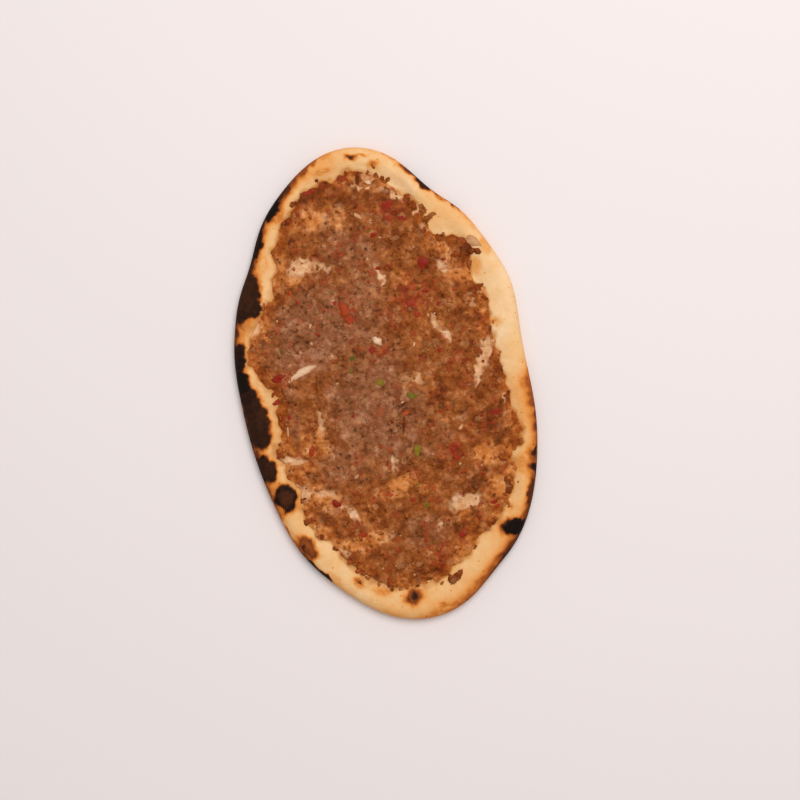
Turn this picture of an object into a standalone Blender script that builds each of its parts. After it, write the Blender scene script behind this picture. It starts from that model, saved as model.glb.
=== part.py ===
"""A sfiha: one oval open flatbread, baked with a thin layer of minced meat on it.

Metres, +Z up. The long side lies along Y, and the origin is on the table under
the middle of the outline. A direction is an angle from +X seen from above, and
an inset is a distance in from the bread's outer edge, along the line to the middle.
"""

import math

import bmesh
import bpy
from mathutils import Vector, noise

MM = 0.001

SEGMENTS = 120  # points round each ring of either piece
GAP = 0.3 * MM  # clear space between the bread and the topping

# The outline is an ellipse that hand stretching left uneven.
HALF_WIDTH = 60.5 * MM
HALF_LENGTH = 100.0 * MM
OUTLINE_BUMPS = [  # direction and spread in degrees, then how far the edge moves out in mm
    (2, 16, -0.9),
    (29, 10, 2.8),
    (67, 7, -4.6),
    (107, 8, -2.2),
    (127, 7, -2.8),
    (160, 10, 0.9),
    (-128, 8, 1.1),
    (-110, 8, -1.1),
    (-71, 6, -1.8),
    (-52, 13, 2.4),
    (-26, 12, 1.1),
]

# The rim is the puffed band that the topping leaves bare.
RIM_WIDTH = 11.0 * MM
RIM_WIDTH_CHANGES = [  # as for the outline, in mm of extra width
    (90, 12, -1.5),
    (72, 5, -2.5),
    (62, 4, 4.5),
    (49, 4, -4.0),
    (24, 12, 2.5),
    (-27, 8, -3.0),
    (-50, 5, -2.5),
    (-90, 14, 5.0),
    (-114, 8, 3.0),
    (-138, 7, 3.5),
    (-178, 12, 3.5),
    (160, 7, -4.5),
    (135, 7, 4.0),
    (108, 7, -2.5),
]
EDGE_HEIGHT = 2.7 * MM  # the level at which the bread reaches furthest out
CREST_HEIGHT = 6.7 * MM
CREST_INSET = 5.5 * MM
CREST_UNEVENNESS = 0.5 * MM
FOOT_INSET = 4.5 * MM  # where the rounded edge comes down to the flat underside
FLOOR_HEIGHT = 3.8 * MM  # the bread under the topping
BANK_WIDTH = 2.4 * MM  # how far the rim's inner slope runs on under the topping

# Burnt bubbles: direction, inset, half length along the edge, half width, rise, all but
# the direction in mm.
BLISTERS = [
    (113, 2.0, 6.5, 3.0, 0.7),
    (137, 4.5, 10.0, 4.5, 1.0),
    (159, 3.5, 6.0, 2.5, 0.6),
    (-177, 5.0, 17.0, 4.0, 0.9),
    (-156, 4.5, 6.0, 3.5, 0.9),
    (-141, 6.5, 5.5, 4.0, 1.0),
    (-126, 5.0, 4.5, 3.0, 0.6),
    (-93, 9.5, 4.0, 4.0, 0.6),
    (-59, 4.5, 4.5, 4.0, 0.7),
]

# The topping is a pressed layer of mince, thinner towards its edge.
TOPPING_THICKNESS = 2.4 * MM
TOPPING_EDGE_THICKNESS = 1.1 * MM
TOPPING_TAPER = 6.0 * MM
TOPPING_RINGS = (1.0, 0.97, 0.93, 0.87, 0.79, 0.71, 0.63, 0.55, 0.47, 0.39, 0.31, 0.23, 0.15, 0.07)
LUMP_SIZE = 13.0 * MM
LUMP_HEIGHT = 0.6 * MM


def bumps(angle, table):
    """Sum of smooth bumps at an angle in radians, in metres."""
    total = 0.0
    for direction, spread, size in table:
        away = (math.degrees(angle) - direction + 180.0) % 360.0 - 180.0
        total += size * MM * math.exp(-((away / spread) ** 2) / 2)
    return total


def edge_radius(angle):
    ellipse = 1.0 / math.hypot(math.cos(angle) / HALF_WIDTH, math.sin(angle) / HALF_LENGTH)
    return ellipse + bumps(angle, OUTLINE_BUMPS)


def rim_width(angle):
    return RIM_WIDTH + bumps(angle, RIM_WIDTH_CHANGES)


def point(angle, inset, height):
    radius = edge_radius(angle) - inset
    return Vector((radius * math.cos(angle), radius * math.sin(angle), height))


def blister_rise(angle, inset):
    rise = 0.0
    for direction, centre, half_length, half_width, height in BLISTERS:
        away = (math.degrees(angle) - direction + 180.0) % 360.0 - 180.0
        along = math.radians(away) * edge_radius(angle) / (half_length * MM)
        across = (inset - centre * MM) / (half_width * MM)
        rise = max(rise, height * MM * math.exp(-(along**2) - across**2))
    return rise


def crest_height(angle):
    wave = noise.noise(Vector((2.2 * math.cos(angle), 2.2 * math.sin(angle), 0.7)))
    return CREST_HEIGHT + CREST_UNEVENNESS * wave


def bread_height(angle, inset):
    """Top of the bread: a rounded edge, a crest and a bank down to the floor."""
    crest = crest_height(angle)
    if inset <= CREST_INSET:
        rounding = math.sqrt(1.0 - (1.0 - inset / CREST_INSET) ** 2)
        height = EDGE_HEIGHT + (crest - EDGE_HEIGHT) * rounding
    else:
        run = rim_width(angle) + BANK_WIDTH - CREST_INSET
        way_down = min(1.0, (inset - CREST_INSET) / run)
        height = FLOOR_HEIGHT + (crest - FLOOR_HEIGHT) * (1.0 + math.cos(math.pi * way_down)) / 2
    return height + blister_rise(angle, inset) * min(1.0, inset / CREST_INSET)


def under_height(inset):
    """Underside of the rounded edge."""
    return EDGE_HEIGHT * (1.0 - math.sqrt(1.0 - (1.0 - inset / FOOT_INSET) ** 2))


def topping_height(angle, depth):
    """Top of the mince, at a depth in from the topping's own edge."""
    inset = rim_width(angle) + depth
    swell = math.sin(math.pi / 2 * min(1.0, depth / TOPPING_TAPER))
    thickness = TOPPING_EDGE_THICKNESS + (TOPPING_THICKNESS - TOPPING_EDGE_THICKNESS) * swell
    place = point(angle, inset, 0.0) / LUMP_SIZE
    return bread_height(angle, inset) + GAP + thickness + LUMP_HEIGHT * noise.noise(place)


def ring(inset_of, height_of):
    """A ring is a function from an angle to a point."""

    def at(angle):
        inset = inset_of(angle)
        return point(angle, inset, height_of(angle, inset))

    return at


def scaled_ring(share, height_of):
    """A ring at a share of the topping's own radius."""

    def at(angle):
        radius = edge_radius(angle) - rim_width(angle)
        depth = radius * (1.0 - share)
        return point(angle, rim_width(angle) + depth, height_of(angle, depth))

    return at


def lofted_body(name, rings, material):
    """A closed body through rings of points, with a flat cap on the first and the last."""
    mesh = bpy.data.meshes.new(name)
    bm = bmesh.new()
    bmesh.ops.create_circle(bm, cap_ends=True, radius=1.0, segments=SEGMENTS)
    for vert in bm.verts:
        vert.co = rings[0](math.atan2(vert.co.y, vert.co.x))
    loop = list(bm.edges)
    for at in rings[1:]:
        grown = bmesh.ops.extrude_edge_only(bm, edges=loop)["geom"]
        loop = [item for item in grown if isinstance(item, bmesh.types.BMEdge)]
        for vert in (item for item in grown if isinstance(item, bmesh.types.BMVert)):
            vert.co = at(math.atan2(vert.co.y, vert.co.x))
    bmesh.ops.edgeloop_fill(bm, edges=loop)
    bmesh.ops.recalc_face_normals(bm, faces=bm.faces)
    bm.to_mesh(mesh)
    bm.free()
    mesh.shade_smooth()
    mesh.set_sharp_from_angle(angle=math.radians(50))
    mesh.materials.append(material)
    body = bpy.data.objects.new(name, mesh)
    bpy.context.collection.objects.link(body)
    return body


def food_material(name, colour, roughness):
    material = bpy.data.materials.new(name)
    material.use_nodes = True
    shader = material.node_tree.nodes["Principled BSDF"]
    shader.inputs["Base Color"].default_value = (*colour, 1.0)
    shader.inputs["Roughness"].default_value = roughness
    shader.inputs["Metallic"].default_value = 0.0
    return material


def make_flatbread():
    """The baked dough: flat below, rounded at the edge, with a rim round a shallow recess."""

    def fixed(inset):
        return lambda angle: inset

    def bank(share):
        return lambda angle: CREST_INSET + share * (rim_width(angle) - CREST_INSET)

    def under(angle, inset):
        return under_height(inset)

    rings = [ring(fixed(share * FOOT_INSET), under) for share in (1.0, 0.7, 0.4, 0.15)]
    rings += [ring(fixed(share * CREST_INSET), bread_height) for share in (0.0, 0.08, 0.25, 0.5, 0.75, 1.0)]
    rings += [ring(bank(share), bread_height) for share in (0.35, 0.7, 1.0)]
    rings += [ring(buried(share), bread_height) for share in (0.5, 1.0)]
    return lofted_body("flatbread", rings, food_material("baked_dough", (0.85, 0.58, 0.31), 0.75))


def buried(share):
    """Inset of a ring on the part of the bank that lies under the topping."""
    return lambda angle: rim_width(angle) + share * BANK_WIDTH


def make_meat_topping():
    """The minced meat, one thin layer out to its uneven edge."""

    def seat(angle, inset):
        return bread_height(angle, inset) + GAP

    rings = [ring(buried(share), seat) for share in (1.0, 0.5, 0.0)]
    rings += [scaled_ring(share, topping_height) for share in TOPPING_RINGS]
    return lofted_body("meat_topping", rings, food_material("baked_mince", (0.27, 0.10, 0.05), 0.6))


def main():
    for leftover in list(bpy.data.objects):
        bpy.data.objects.remove(leftover)
    make_flatbread()
    make_meat_topping()


main()
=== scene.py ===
import math

import bpy
import numpy as np
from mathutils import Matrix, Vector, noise


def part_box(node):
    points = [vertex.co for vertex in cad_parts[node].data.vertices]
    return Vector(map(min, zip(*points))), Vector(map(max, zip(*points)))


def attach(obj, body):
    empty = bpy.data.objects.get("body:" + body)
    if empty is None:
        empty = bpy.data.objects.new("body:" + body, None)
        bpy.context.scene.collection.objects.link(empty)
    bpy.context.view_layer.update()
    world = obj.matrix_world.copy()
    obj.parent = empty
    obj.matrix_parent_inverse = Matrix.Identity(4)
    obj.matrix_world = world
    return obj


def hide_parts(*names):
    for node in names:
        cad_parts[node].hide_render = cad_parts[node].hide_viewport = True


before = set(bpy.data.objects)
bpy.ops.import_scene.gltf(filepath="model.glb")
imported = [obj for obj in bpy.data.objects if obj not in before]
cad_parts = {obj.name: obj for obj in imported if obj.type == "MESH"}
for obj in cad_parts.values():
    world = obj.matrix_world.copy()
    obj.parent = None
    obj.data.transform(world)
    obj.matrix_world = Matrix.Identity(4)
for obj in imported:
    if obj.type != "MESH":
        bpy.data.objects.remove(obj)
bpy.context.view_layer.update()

mm = 0.001  # all sizes below are in millimetres, and go to metres as a mesh is made
print("frame loaded")


# small helpers: numbers, colours, nodes


def smoothStep(low, high, value):
    t = np.clip((value - low) / (high - low), 0.0, 1.0)
    return t * t * (3.0 - 2.0 * t)


def hexToLinear(text):
    parts = [int(text[i:i + 2], 16) / 255.0 for i in (1, 3, 5)]
    return (*[c / 12.92 if c <= 0.04045 else ((c + 0.055) / 1.055) ** 2.4 for c in parts], 1.0)


def perMm(size):
    return 1.0 / (size * mm)  # a pattern's scale for features of this size


def fillInputs(tree, node, inputs):
    # each is another node's output or a fixed value
    for name, value in inputs.items():
        if isinstance(value, bpy.types.NodeSocket):
            tree.links.new(value, node.inputs[name])
        else:
            node.inputs[name].default_value = value


def addNode(tree, kind, inputs=None, stops=None, **settings):
    node = tree.nodes.new("ShaderNode" + kind)
    for name, value in settings.items():
        setattr(node, name, value)
    fillInputs(tree, node, inputs or {})
    # a ramp has two stops to begin with, so the list gives the two ends first
    for i, (place, colour) in enumerate(stops or []):
        ramp = node.color_ramp.elements
        element = ramp[i] if i < 2 else ramp.new(place)
        element.position = place
        element.color = hexToLinear(colour)
    return node


def newMaterial(name):
    material = bpy.data.materials.new(name)
    material.use_nodes = True
    tree = material.node_tree
    return material, tree, tree.nodes["Principled BSDF"]


def addUp(tree, start, terms):
    # start plus each socket times its weight
    total = start
    for socket, weight in terms:
        step = addNode(tree, "Math", {0: socket, 1: weight, 2: total}, operation="MULTIPLY_ADD")
        total = step.outputs[0]
    return total


def waves(x, y, size, seed):
    # soft unevenness from -1 to 1, with features of this size
    return np.array([noise.noise((u, v, seed)) for u, v in zip(x / size, y / size)])


def grains(x, y, size, seed):
    # packed grains: distance to the nearest two grain centres, and a number for the nearest grain
    squares = 256
    rng = np.random.default_rng(seed)
    offset = rng.random((squares, squares, 2))
    number = rng.random((squares, squares))
    column, row = np.floor(x / size).astype(int), np.floor(y / size).astype(int)
    nearest = np.full(x.shape, 9.0)
    second = nearest.copy()
    ownNumber = np.zeros(x.shape)
    for across in (-1, 0, 1):
        for along in (-1, 0, 1):
            i, j = (column + across) % squares, (row + along) % squares
            gapX = column + across + offset[i, j, 0] - x / size
            gapY = row + along + offset[i, j, 1] - y / size
            gap = np.hypot(gapX, gapY)
            closer = gap < nearest
            second = np.where(closer, nearest, np.minimum(second, gap))
            ownNumber = np.where(closer, number[i, j], ownNumber)
            nearest = np.where(closer, gap, nearest)
    return nearest, second, ownNumber


def towards(angle, direction, spread):
    # 1 in this direction, fading to 0 on both sides; direction and spread in degrees
    away = (np.degrees(angle) - direction + 180.0) % 360.0 - 180.0
    return np.exp(-((away / spread) ** 2) / 2)


def ovals(x, y, rows, seed, raggedness):
    # each row is x, y, half length, half width, turn in degrees and more; gives 0 at the middle
    # of each oval and 1 at its ragged edge
    shiftX = raggedness * (waves(x, y, 4.0, seed) + 0.5 * waves(x, y, 1.5, seed + 2.0))
    shiftY = raggedness * (waves(x, y, 4.0, seed + 5.0) + 0.5 * waves(x, y, 1.5, seed + 7.0))
    for row in rows:
        turn = math.radians(row[4])
        dx, dy = x + shiftX - row[0], y + shiftY - row[1]
        along = dx * math.cos(turn) + dy * math.sin(turn)
        across = dy * math.cos(turn) - dx * math.sin(turn)
        yield row, np.hypot(along / row[2], across / row[3])


def bandFaces(ring, nextRing):
    # quads between two closed rings of point numbers
    return np.stack([ring, nextRing, np.roll(nextRing, -1), np.roll(ring, -1)], 1).tolist()


def fanFaces(ring, tip):
    # triangles from a closed ring of point numbers to one point
    return np.stack([ring, np.roll(ring, -1), np.full(len(ring), tip)], 1).tolist()


def meshFrom(name, points, faces, material, fields, uv=None):
    mesh = bpy.data.meshes.new(name)
    mesh.from_pydata(np.asarray(points) * mm, [], faces)
    for field, values in fields.items():
        mesh.attributes.new(field, "FLOAT", "POINT").data.foreach_set("value", np.asarray(values, np.float32))
    if uv is not None:
        corners = np.empty(len(mesh.loops), int)
        mesh.loops.foreach_get("vertex_index", corners)
        layer = mesh.uv_layers.new(name="OFBake")
        layer.data.foreach_set("uv", np.asarray(uv)[corners].ravel())
    mesh.shade_smooth()
    mesh.materials.append(material)
    piece = bpy.data.objects.new(name, mesh)
    bpy.context.collection.objects.link(piece)
    return piece


# outlines: the bread's from its CAD piece, the meat's from its own with a ragged edge


def outlineOf(nodeName):
    # how far a CAD piece reaches in every direction, as a smooth function of the angle
    sides, waveCount, clearance = 120, 45, 0.03
    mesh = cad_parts[nodeName].data
    points = np.empty(len(mesh.vertices) * 3)
    mesh.vertices.foreach_get("co", points)
    points = points.reshape(-1, 3) / mm
    side = np.round(np.arctan2(points[:, 1], points[:, 0]) / (2 * math.pi / sides)).astype(int) % sides
    reach = np.zeros(sides)
    np.maximum.at(reach, side, np.hypot(points[:, 0], points[:, 1]))
    turns = np.fft.rfft(reach) / sides

    def reachAt(angle):
        total = np.full(np.shape(angle), turns[0].real)
        for k in range(1, waveCount + 1):
            total = total + 2 * (turns[k].real * np.cos(k * angle) - turns[k].imag * np.sin(k * angle))
        return total - clearance

    return reachAt


breadReach = outlineOf("flatbread")
toppingReach = outlineOf("meat_topping")

meatEdge = {
    "spread": 0.4,  # how far it runs past the CAD piece, with the waves below on top
    "waves": ((8.0, 2.6), (3.6, 1.6), (1.8, 0.6)),  # size and depth
    # where it runs further out or further in: direction and spread in degrees, shift
    "shifts": [
        (-156, 4, 1.6), (-145, 3, 2.2), (-130, 5, 2.4), (-119, 3, -1.4), (-114, 3, 1.6), (-104, 8, 5.2),
        (-96, 3, -1.8), (-92, 6, 1.4), (-79, 4, -1), (-70, 4, -1.2), (-61, 3, 1.8), (-53, 7, -2.4),
        (-37, 3, -0.8), (-29, 4, 2.4), (-6, 5, 1.6), (12, 4, 1.6), (39, 3, -4), (58, 5, -1.2), (75, 3, -4),
        (85, 4, -1), (96, 4, -1.5), (105, 4, -1), (112, 5, 0.8), (135, 4, 3.2), (147, 6, 4),
    ],
}


def insideMeat(x, y):
    # distance in from the meat's ragged edge, below zero outside it
    angle = np.arctan2(y, x)
    inside = toppingReach(angle) - np.hypot(x, y) + meatEdge["spread"]
    for direction, spread, shift in meatEdge["shifts"]:
        inside = inside + shift * towards(angle, direction, spread)
    for size, depth in meatEdge["waves"]:
        inside = inside + depth * waves(x, y, size, 61.0 + size)
    return inside


# the bread: stretched by hand, baked on the oven floor

bread = {
    "rimSteps": 840,  # points round it, about 0.6 apart at its edge
    "ringStep": 0.6,  # between the rings of points from the crest inwards
    "lastInset": 26.6,  # inside this, under the meat, the rings are further apart
    "edgeHeight": 2.7,  # where it reaches furthest out
    "crestHeight": 6.3,
    "crestInset": 5.0,
    "footInset": 4.5,
    "floorHeight": 4.3,  # under the topping
    "bankWidth": 3.0,
    "longWaves": (24.0, 0.35),  # size and height
    "shortWaves": (8.0, 0.16),
    "bubbles": (5.0, 0.2),
    "bubbleShare": 0.55,  # the share of places that puffed up
    "highest": 7.5,
    "toast": 0.10,  # where nothing scorched it
    "sideWander": 2.6,  # how unevenly its side is scorched
    "underToast": 0.15,
    "fatReach": 2.0,  # how far the meat's fat soaks past its edge
}

# Scorched spots: x, y, half length, half width, turn, how burnt (0.5 brown, 1 black), toasted
# margin, then, if not 0, rise of the bubble and how much paler it is in the middle
scorches = [
    (-33.8, 80.3, 6.6, 3.6, 44, 0.97, 2.2, 0.5), (-42.6, 66.6, 9, 3.1, 64, 0.88, 1),
    (-50.6, 46, 10.6, 5.8, 66, 0.82, 1.2, 0.8, 0.04), (-48.6, 50.8, 5, 4.2, 70, 0.76, 0.8, 0.5, 0.04),
    (-48.4, 41.2, 4.6, 3.8, 20, 0.8, 0.8, 0.4, 0.02), (-58, 21.4, 6.6, 3.6, 82, 0.9, 1, 0.5),
    (-58.8, 11, 5, 3.4, -75, 0.95, 1.2, 0.6), (-56.8, 4, 7, 4.2, -74, 0.85, 1.2, 0.7),
    (-55.6, -4.5, 8, 4.9, -84, 0.8, 1.2, 0.7), (-55.6, -11.5, 5.8, 4.6, -88, 0.8, 1.2, 0.7),
    (-55.5, -26, 6.2, 4.2, -72, 0.86, 1.3, 0.7, 0.06), (-49.6, -39.4, 5.6, 4.7, -66, 0.95, 1.5, 0.8, 0.22),
    (-44.9, -61, 4.8, 3.2, -62, 0.58, 1.2, 0.5, 0.06), (-46, -61.8, 2.4, 1.3, -62, 0.74, 0.8),
    (-43.6, -71.4, 8, 2.2, -50, 0.88, 1), (-5, -89.6, 3.4, 2.8, 30, 0.54, 1.3, 0.4),
    (-4.5, -89.4, 1.8, 1.3, 60, 0.8, 0.8, 0.1), (42, -69, 5.8, 3.2, 8, 0.97, 1.1, 0.5),
    (38.6, -67.6, 2.6, 2, 20, 0.78, 1, 0.3), (55.8, -39.9, 2.2, 1.9, -60, 0.82, 1.6, 0.2),
    (54.6, -46.6, 3, 2.2, -66, 0.88, 1.6, 0.2), (50.8, -57.5, 7.5, 1.3, 68, 0.66, 1.2),
    (37.6, -80, 6.5, 1.8, 46, 0.76, 2, 0.3), (59.6, -12, 5.5, 1, 88, 0.42, 1.8),
    (59.6, -26, 6.5, 1, 84, 0.56, 1.2), (57.2, -10, 1.8, 1.2, 60, 0.38, 1.6, 0.2),
    (31.5, 80.5, 7, 2.3, -48, 0.8, 0.9), (26, 86.4, 3.5, 1, -46, 0.6, 1),
    (42.5, 69.5, 5, 0.9, -52, 0.56, 0.8), (-24.6, 88, 5.5, 1.8, 42, 0.66, 1.6),
    (-16.5, 94, 5.5, 1.1, 38, 0.5, 2), (3.8, 95, 1.9, 0.8, -8, 0.7, 0.7, 0.1),
    (12.8, 90.6, 1.5, 1.2, 0, 0.42, 0.9, 0.3), (51.8, 49, 1.8, 3.2, 20, 0.24, 1),
    (48.8, -44, 1.6, 2.8, -20, 0.3, 1.2), (46.4, 41, 1.8, 2.6, 0, 0.26, 1),
    (-51.6, 35.4, 3.2, 2, 45, 0.34, 1.2), (7, 95.2, 2.2, 0.5, 4, 0.44, 0.8, 0.1),
    (-9.5, 93.6, 5.4, 3, 12, 0.24, 3.4, 0.2), (-8.8, 91.4, 1.3, 0.6, 10, 0.36, 1),
    (-40.4, 58.4, 2.6, 2, 60, 0.18, 1.2, 0.2), (-30.4, 76.4, 2.6, 1.4, 46, 0.38, 1.2),
    (-26.2, -79.4, 1.6, 1.2, -50, 0.46, 0.8, 0.1), (-36.6, -76.6, 2.2, 1.4, -50, 0.22, 1.2),
    (-13.2, -85.2, 1.8, 0.8, -20, 0.44, 1), (-18, -85, 2.6, 1, -24, 0.3, 1.6, 0.1),
    (6.4, -94.6, 0.7, 0.6, 0, 0.48, 0.8), (-57, -36.5, 4, 1.8, -66, 0.4, 1.4),
    (-56, 31.5, 4, 2.2, 80, 0.32, 2), (26, -88.5, 11, 1.6, 34, 0.38, 3), (10, -97, 9, 1.2, 12, 0.28, 2.4),
    (49.5, 16.5, 1.8, 1, 0, 0.34, 1.6), (42, -60.5, 0.9, 0.6, 60, 0.44, 0.8),
]

# Toasting along the very edge: direction and spread in degrees, strength, depth
# the strong rows round the left side, from 108 through 180 to -126 degrees, are partly toasting and partly
# painted shade along that edge
edgeToastAndShade = [
    (70, 8, 0.3, 1.4), (52, 8, 0.1, 1.4), (-18, 11, 0.16, 8.5), (-66, 26, 0.08, 16), (66, 9, 0.05, 12),
    (-150, 12, 0.03, 12), (-14, 7, 0.24, 3), (-37, 7, 0.26, 2.6), (-50, 8, 0.32, 2.6), (-64, 8, 0.42, 3.4),
    (-80, 10, 0.15, 7), (-100, 9, 0.06, 2.4), (-126, 7, 0.22, 1.6), (-142, 9, 0.3, 1.8),
    (-162, 10, 0.4, 2.4), (180, 12, 0.45, 2.4), (158, 10, 0.45, 2.4), (138, 10, 0.45, 2.4),
    (121, 9, 0.5, 2.6), (108, 8, 0.46, 3.4), (95, 8, 0.06, 2), (124, 8, 0.1, 8),
]

# Where the fat has crept further out over the rim: direction and spread in degrees, extra width
# the first row, towards the left, is partly painted shade: its tan soak darkens the rim strip there
fatCreepAndShade = [(178, 13, 3.2), (133, 14, 1.2), (-155, 14, 0.8), (155, 8, 1.0)]

# Crumbs of meat that stand out: x, y, radius, how fried
loneCrumbs = [
    (23, 73.4, 2, 0.4), (29.6, 68.6, 2, 0.35), (31, 64.5, 2.2, 0.4), (29.6, 61.5, 1.4, 0.3),
    (33, 55, 1.8, 0.7), (39.5, 47, 2, 0.9), (42.5, 51.5, 2.2, 1), (45.5, 47.5, 1.8, 1),
    (48.5, 46.5, 1.4, 0.9), (44, 43, 1.5, 0.8), (43.5, 40.8, 1, 0.7), (45.5, 31, 2, 0.8),
    (47, 27.5, 1.4, 0.6), (49.2, 16.5, 0.8, 0.4), (47.2, 14, 1, 0.7), (47.5, 9.6, 1, 0.4),
    (49.3, 3.8, 1.2, 0.3), (48.5, -2, 2, 0.8), (45.5, -5.5, 1.8, 0.8), (49.6, -13.6, 1, 0.8),
    (48, -14.6, 0.8, 0.7), (42, -49, 1.6, 0.8), (42.2, -53.4, 1.7, 0.8), (41.2, -40.5, 1.3, 0.7),
    (46.8, -51, 0.6, 0.3), (41.2, -60.2, 0.6, 0.5), (12.2, -86.2, 2.2, 0.6), (14.2, -85, 2.2, 0.7),
    (-13.4, -84.6, 1, 0.5), (-38, -58, 1.2, 0.7), (-42, -41, 0.9, 0.6), (-43.2, -50.8, 1.3, 0.6),
    (-26.2, -79.4, 0.8, 0.6), (-1.5, 87, 1.6, 0.7), (1, 88.4, 1.2, 0.6), (5.6, 88.2, 0.8, 0.9),
    (9.8, 88.2, 0.9, 0.8), (12.6, 89.6, 1, 0.4), (13, 86.2, 1.3, 0.5), (15.2, 84.4, 1.4, 0.7),
    (17.4, 83.4, 1.1, 0.6), (-12, 88.4, 1, 0.7), (-24, 80.5, 1.4, 0.8), (-27.5, 73, 1.3, 0.8),
    (-36.5, 44, 1.6, 0.5), (-49.5, 26, 1.2, 0.4), (-47.5, -17, 1, 0.5), (-44.5, -27.5, 1.2, 0.5),
    (-47, 4, 1.2, 0.5), (-33.5, -64, 1.2, 0.6), (-18, -78.5, 1.1, 0.6), (24, -74.5, 1, 0.6),
    (33.5, -65.5, 1.1, 0.6), (7.5, -86.5, 0.9, 0.6), (-3, -85.6, 0.9, 0.7),
]


def breadShape(x, y):
    # height of the bread's top, how toasted each place is, and how much fat it took up
    angle = np.arctan2(y, x)
    inset = breadReach(angle) - np.hypot(x, y)
    # the rim rises from the edge to its crest, then banks down to the floor under the meat
    crest, crestInset = bread["crestHeight"], bread["crestInset"]
    rounding = np.sqrt(np.clip(1.0 - (1.0 - np.clip(inset / crestInset, 0, 1)) ** 2, 0, 1))
    outer = bread["edgeHeight"] + (crest - bread["edgeHeight"]) * rounding
    rim = breadReach(angle) - toppingReach(angle)
    down = smoothStep(0.0, 1.0, (inset - crestInset) / (rim + bread["bankWidth"] - crestInset))
    height = np.where(inset < crestInset, outer, crest + (bread["floorHeight"] - crest) * down)
    inward = smoothStep(0.0, crestInset, inset)
    for key in ("longWaves", "shortWaves"):
        size, tall = bread[key]
        height = height + inward * tall * waves(x, y, size, 3.7)
    size, tall = bread["bubbles"]
    nearest, _, number = grains(x, y, size, 11)
    puffed = number > 1.0 - bread["bubbleShare"]
    height = height + inward * tall * np.clip(1.0 - 1.6 * nearest, 0, 1) * puffed
    toast = bread["toast"] + 0.06 * waves(x, y, 14.0, 21.0)
    # edge toasting; on the left side it is partly painted shade
    for direction, spread, strength, depth in edgeToastAndShade:
        toast = toast + strength * towards(angle, direction, spread) * np.exp(-((inset / depth) ** 2))
    for row, reachHere in ovals(x, y, scorches, 31.0, 1.4):
        burnt, margin, rise, middle = (*row[5:], 0.0, 0.0)[:4]
        size = math.sqrt(row[2] * row[3])
        inside = smoothStep(0.75, -0.75, (reachHere - 1.0) * size)
        paler = middle * smoothStep(0.95, 0.4, reachHere)
        around = np.exp(-np.clip((reachHere - 1.0) * size / margin, 0, 9) ** 1.3)
        ring = (0.50 - toast) * 0.8 * around * min(1.0, burnt / 0.6)
        toast = np.maximum(toast, toast + ring * (reachHere > 0.9))
        toast = np.maximum(toast, (burnt - paler) * inside)
        height = height + inward * rise * smoothStep(1.15, 0.45, reachHere)
    # how far the fat soak reaches; the rows below widen it, the leftward one partly as painted shade
    creep = bread["fatReach"] + 1.4 * waves(x, y, 3.0, 51.0) + 1.2 * waves(x, y, 7.0, 52.0)
    for direction, spread, extra in fatCreepAndShade:
        creep = creep + extra * towards(angle, direction, spread)
    fat = smoothStep(np.maximum(creep, 0.8), -0.4, -insideMeat(x, y))
    greasy = [(x0, y0, radius, radius, 0.0, fried) for x0, y0, radius, fried in loneCrumbs]
    for row, reachHere in ovals(x, y, greasy, 33.0, 0.4):
        fat = np.maximum(fat, row[5] * np.exp(-np.clip((reachHere - 0.7) * row[2] / 0.7, 0, 9)))
    fat = fat * smoothStep(0.72, 0.45, toast)  # what is burnt takes up none
    return np.minimum(height, bread["highest"]), toast, fat


def undersideShape(x, y, inset, edgeToasted):
    # height and toast: spots where it touched the hot floor, and the edge's marks running in
    footInset = bread["footInset"]
    rounding = math.sqrt(max(0.0, 1.0 - (1.0 - min(1.0, inset / footInset)) ** 2))
    fromEdge = breadReach(np.arctan2(y, x)) - np.hypot(x, y)
    wrinkle = 0.12 * (waves(x, y, 6.0, 41.0) + 1.0) * smoothStep(1.0, footInset * 1.3, fromEdge)
    height = bread["edgeHeight"] * (1.0 - rounding) + wrinkle
    spots = smoothStep(0.12, 0.5, waves(x, y, 13.0, 43.0)) * (0.5 + 0.5 * waves(x, y, 3.5, 44.0))
    toast = bread["underToast"] + 0.5 * spots + 0.12 * waves(x, y, 5.0, 45.0)
    uneven = 2.4 * waves(x + 3.0 * height, y - 3.0 * height, 5.0, 46.0)
    edge = smoothStep(1.0, 6.5, fromEdge + uneven)
    return height, toast * edge + edgeToasted * (1.0 - edge)


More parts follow.
